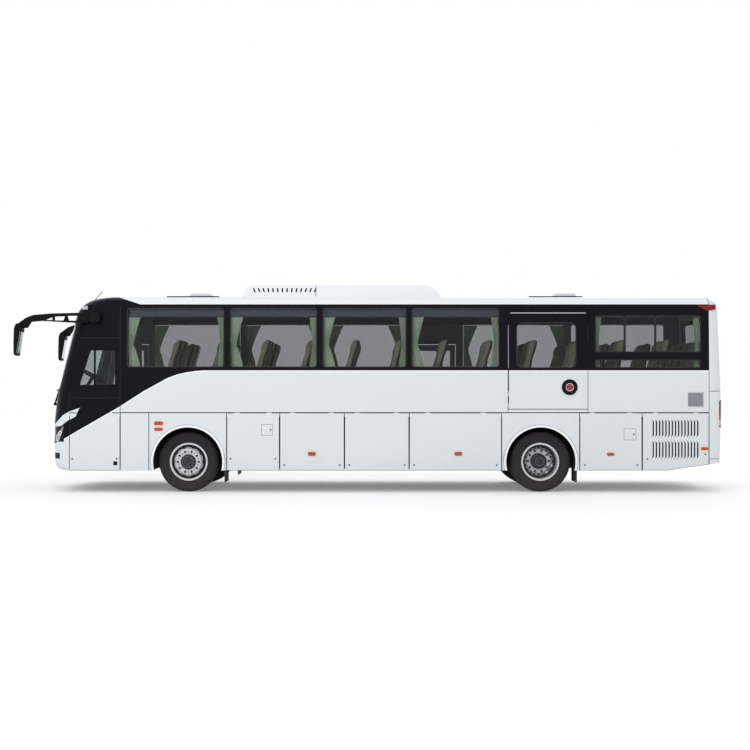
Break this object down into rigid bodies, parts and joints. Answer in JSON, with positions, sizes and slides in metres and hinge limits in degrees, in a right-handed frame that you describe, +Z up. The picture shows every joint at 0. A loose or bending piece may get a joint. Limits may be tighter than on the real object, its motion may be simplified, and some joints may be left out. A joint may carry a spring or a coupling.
{
  "type": "airport passenger bus (high-floor coach with luggage lockers)",
  "caption": "High-floor airport coach with luggage lockers below the floor, side emergency door and roof air unit.",
  "frame": {"origin": "on the ground, under the centre of the overall box with the mirrors", "axes": "+X towards the tail, +Y towards the passenger doors (right side), +Z up"},
  "size_m": [11.27, 2.88, 3.325],
  "materials": {
    "body_paint": "white paint with a faint blue tone, clear coat",
    "front_paint": "gloss black over glass fibre",
    "roof_paint": "white paint, satin",
    "door_paint": "white paint with a faint blue tone, clear coat",
    "tinted_glass": "grey-green tinted safety glass",
    "clear_lens": "clear lamp lens",
    "red_lens": "red lamp lens",
    "amber_lens": "amber lamp lens",
    "black_plastic": "moulded black plastic",
    "tyre_rubber": "dusty tyre rubber",
    "rim_paint": "silver paint on pressed steel",
    "chassis_paint": "black chassis paint with road dust",
    "cast_parts": "dark cast iron",
    "floor_cover": "grey floor covering on plywood",
    "liner_paint": "black underbody coating",
    "seat_fabric": "olive grey woven seat cover",
    "curtain_cloth": "light green woven curtain",
    "rack_plastic": "grey moulded rack lining",
    "dash_plastic": "dark grained plastic",
    "bare_alloy": "dull radiator alloy",
    "door_arm_paint": "grey powder coat"
  },
  "bodies": {
    "root": {"body_glass": "tinted_glass", "chassis_frame": "chassis_paint", "curtains": "curtain_cloth", "dashboard": "dash_plastic", "engine_block": "cast_parts", "floor_deck": "floor_cover", "front_axle": "cast_parts", "front_mask": "front_paint", "headlamps": "clear_lens", "lower_panels": "body_paint", "luggage_racks": "rack_plastic", "marker_lamps": "amber_lens", "mirrors": "black_plastic", "radiator": "bare_alloy", "rear_axle": "cast_parts", "rear_cap": "body_paint", "roof_ac_unit": "roof_paint", "roof_shell": "roof_paint", "seat_cushions": "seat_fabric", "seat_frames": "chassis_paint", "side_wall_left": "body_paint", "side_wall_right": "body_paint", "tail_lamps": "red_lens", "tanks": "chassis_paint", "underfloor_liners": "liner_paint", "windscreen": "tinted_glass", "wipers": "black_plastic"},
    "knuckle_left": {"knuckle_left": "cast_parts"},
    "knuckle_right": {"knuckle_right": "cast_parts"},
    "tie_rod": {"tie_rod": "cast_parts"},
    "steering_wheel": {"steering_wheel": "dash_plastic"},
    "front_wheel_left": {"front_tyre_left": "tyre_rubber", "front_rim_left": "rim_paint"},
    "front_wheel_right": {"front_tyre_right": "tyre_rubber", "front_rim_right": "rim_paint"},
    "rear_wheels_left": {"rear_tyres_left": "tyre_rubber", "rear_rims_left": "rim_paint"},
    "rear_wheels_right": {"rear_tyres_right": "tyre_rubber", "rear_rims_right": "rim_paint"},
    "front_door_arm": {"front_door_arm": "door_arm_paint"},
    "front_door": {"front_door_leaf": "door_paint", "front_door_glass": "tinted_glass"},
    "mid_door_arm": {"mid_door_arm": "door_arm_paint"},
    "mid_door": {"mid_door_leaf": "door_paint", "mid_door_glass": "tinted_glass"},
    "emergency_door": {"emergency_door": "body_paint", "emergency_door_glass": "tinted_glass"},
    "engine_hatch": {"engine_hatch": "body_paint"},
    "roof_hatch_lid_front": {"roof_hatch_lid_front": "roof_paint"},
    "roof_hatch_lid_rear": {"roof_hatch_lid_rear": "roof_paint"},
    "front_locker_door_left": {"front_locker_door_left": "body_paint"},
    "service_door_left": {"service_door_left": "body_paint"},
    "luggage_door_left_1": {"luggage_door_left_1": "body_paint"},
    "luggage_door_left_2": {"luggage_door_left_2": "body_paint"},
    "luggage_door_left_3": {"luggage_door_left_3": "body_paint"},
    "rear_service_door_left": {"rear_service_door_left": "body_paint"},
    "radiator_door_left": {"radiator_door_left": "body_paint"},
    "luggage_door_right_1": {"luggage_door_right_1": "body_paint"},
    "luggage_door_right_2": {"luggage_door_right_2": "body_paint"},
    "rear_service_door_right": {"rear_service_door_right": "body_paint"}
  },
  "joints": [
    {"name": "steer_left", "type": "hinge", "parent": "root", "child": "knuckle_left", "pos_m": [-2.92, -0.89, 0.478], "axis": [0, 0, 1], "range_deg": [-38, 38]},
    {"name": "steer_right", "type": "hinge", "parent": "root", "child": "knuckle_right", "pos_m": [-2.92, 0.89, 0.478], "axis": [0, 0, 1], "range_deg": [-38, 38]},
    {"name": "tie_rod_turn", "type": "hinge", "parent": "knuckle_left", "child": "tie_rod", "pos_m": [-2.7, -0.83, 0.384], "axis": [0, 0, 1], "range_deg": [-38, 38]},
    {"name": "steering_wheel_turn", "type": "hinge", "parent": "root", "child": "steering_wheel", "pos_m": [-4.54, -0.74, 1.85], "axis": [0.5, 0, 0.866], "range_deg": [-570, 570]},
    {"name": "front_wheel_left_spin", "type": "hinge", "parent": "knuckle_left", "child": "front_wheel_left", "pos_m": [-2.92, -1.04, 0.478], "axis": [0, 1, 0], "continuous": true},
    {"name": "front_wheel_right_spin", "type": "hinge", "parent": "knuckle_right", "child": "front_wheel_right", "pos_m": [-2.92, 1.04, 0.478], "axis": [0, 1, 0], "continuous": true},
    {"name": "rear_wheels_left_spin", "type": "hinge", "parent": "root", "child": "rear_wheels_left", "pos_m": [2.68, -0.92, 0.478], "axis": [0, 1, 0], "continuous": true},
    {"name": "rear_wheels_right_spin", "type": "hinge", "parent": "root", "child": "rear_wheels_right", "pos_m": [2.68, 0.92, 0.478], "axis": [0, 1, 0], "continuous": true},
    {"name": "front_door_swing", "type": "hinge", "parent": "root", "child": "front_door_arm", "pos_m": [-4.765, 1.185, 0.8], "axis": [0, 0, 1], "range_deg": [0, 171]},
    {"name": "front_door_turn", "type": "hinge", "parent": "front_door_arm", "child": "front_door", "pos_m": [-4.40697, 1.14737, 0.8], "axis": [0, 0, 1], "range_deg": [-171, 0]},
    {"name": "mid_door_swing", "type": "hinge", "parent": "root", "child": "mid_door_arm", "pos_m": [0.715, 1.185, 0.8], "axis": [0, 0, 1], "range_deg": [0, 171]},
    {"name": "mid_door_turn", "type": "hinge", "parent": "mid_door_arm", "child": "mid_door", "pos_m": [1.07303, 1.14737, 0.8], "axis": [0, 0, 1], "range_deg": [-171, 0]},
    {"name": "emergency_door_swing", "type": "hinge", "parent": "root", "child": "emergency_door", "pos_m": [2.169, -1.2443, 1.7], "axis": [0, 0, -1], "range_deg": [0, 100]},
    {"name": "engine_hatch_lift", "type": "hinge", "parent": "root", "child": "engine_hatch", "pos_m": [5.629, 0, 1.597], "axis": [0, 1, 0], "range_deg": [-75, 0]},
    {"name": "roof_hatch_front_lift", "type": "hinge", "parent": "root", "child": "roof_hatch_lid_front", "pos_m": [-3.029, 0, 3.185], "axis": [0, -1, 0], "range_deg": [0, 60]},
    {"name": "roof_hatch_rear_lift", "type": "hinge", "parent": "root", "child": "roof_hatch_lid_rear", "pos_m": [3.033, 0, 3.185], "axis": [0, -1, 0], "range_deg": [0, 60]},
    {"name": "front_locker_door_left_lift", "type": "hinge", "parent": "root", "child": "front_locker_door_left", "pos_m": [-4.397, -1.2443, 1.258], "axis": [1, 0, 0], "range_deg": [-85, 0]},
    {"name": "service_door_left_lift", "type": "hinge", "parent": "root", "child": "service_door_left", "pos_m": [-1.884, -1.2443, 1.258], "axis": [1, 0, 0], "range_deg": [-85, 0]},
    {"name": "luggage_door_left_1_lift", "type": "hinge", "parent": "root", "child": "luggage_door_left_1", "pos_m": [-0.949, -1.2443, 1.258], "axis": [1, 0, 0], "range_deg": [-85, 0]},
    {"name": "luggage_door_left_2_lift", "type": "hinge", "parent": "root", "child": "luggage_door_left_2", "pos_m": [0.0785, -1.2443, 1.258], "axis": [1, 0, 0], "range_deg": [-85, 0]},
    {"name": "luggage_door_left_3_lift", "type": "hinge", "parent": "root", "child": "luggage_door_left_3", "pos_m": [1.3265, -1.2443, 1.258], "axis": [1, 0, 0], "range_deg": [-85, 0]},
    {"name": "rear_service_door_left_lift", "type": "hinge", "parent": "root", "child": "rear_service_door_left", "pos_m": [3.7925, -1.2443, 1.258], "axis": [1, 0, 0], "range_deg": [-85, 0]},
    {"name": "radiator_door_left_lift", "type": "hinge", "parent": "root", "child": "radiator_door_left", "pos_m": [4.8205, -1.2443, 1.258], "axis": [1, 0, 0], "range_deg": [-85, 0]},
    {"name": "luggage_door_right_1_lift", "type": "hinge", "parent": "root", "child": "luggage_door_right_1", "pos_m": [-0.949, 1.2443, 1.258], "axis": [-1, 0, 0], "range_deg": [-85, 0]},
    {"name": "luggage_door_right_2_lift", "type": "hinge", "parent": "root", "child": "luggage_door_right_2", "pos_m": [0.0785, 1.2443, 1.258], "axis": [-1, 0, 0], "range_deg": [-85, 0]},
    {"name": "rear_service_door_right_lift", "type": "hinge", "parent": "root", "child": "rear_service_door_right", "pos_m": [3.7925, 1.2443, 1.258], "axis": [-1, 0, 0], "range_deg": [-85, 0]}
  ],
  "couplings": [
    {"joint": "steer_right", "follows": "steer_left", "ratio": 1},
    {"joint": "tie_rod_turn", "follows": "steer_left", "ratio": -1},
    {"joint": "steering_wheel_turn", "follows": "steer_left", "ratio": 15},
    {"joint": "front_door_turn", "follows": "front_door_swing", "ratio": -1},
    {"joint": "mid_door_turn", "follows": "mid_door_swing", "ratio": -1}
  ]
}
